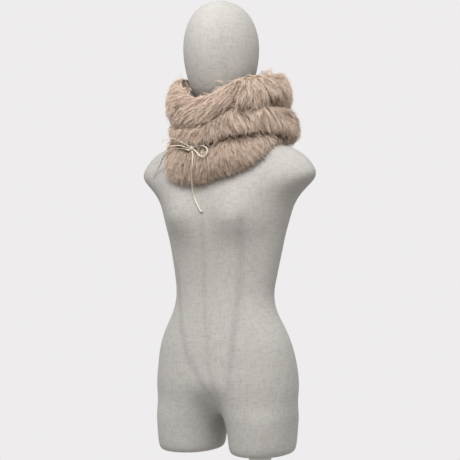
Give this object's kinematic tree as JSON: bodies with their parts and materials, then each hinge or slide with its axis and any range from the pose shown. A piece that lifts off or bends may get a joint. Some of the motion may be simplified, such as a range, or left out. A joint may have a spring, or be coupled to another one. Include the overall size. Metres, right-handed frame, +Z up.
{
  "type": "fur collar wrap on a torso dress form",
  "caption": "Long pile fur collar wrap gathered by a bow tied lace, worn on a linen covered armless dress form with a plain egg head on a round stand.",
  "frame": {"origin": "centre of the stand's underside", "axes": "+Z up the figure, -Y its front, +X its left side"},
  "size_m": [0.4004, 0.33, 1.052],
  "materials": {
    "fur": "long soft pile, pinkish beige",
    "lace": "flat cream lace",
    "linen": "plain woven linen, stretched smooth",
    "metal": "satin"
  },
  "bodies": {
    "root": {"fur_upper": "fur", "fur_middle": "fur", "fur_yoke": "fur", "lace_loop_right": "lace", "lace_loop_left": "lace", "lace_end_right": "lace", "lace_end_left": "lace", "lace_knot": "lace", "form_torso": "linen", "form_head": "linen", "form_thigh_left": "linen", "form_thigh_right": "linen", "stand_base": "metal", "stand_socket": "metal", "stand_pole": "metal", "stand_collar": "metal"}
  },
  "joints": []
}
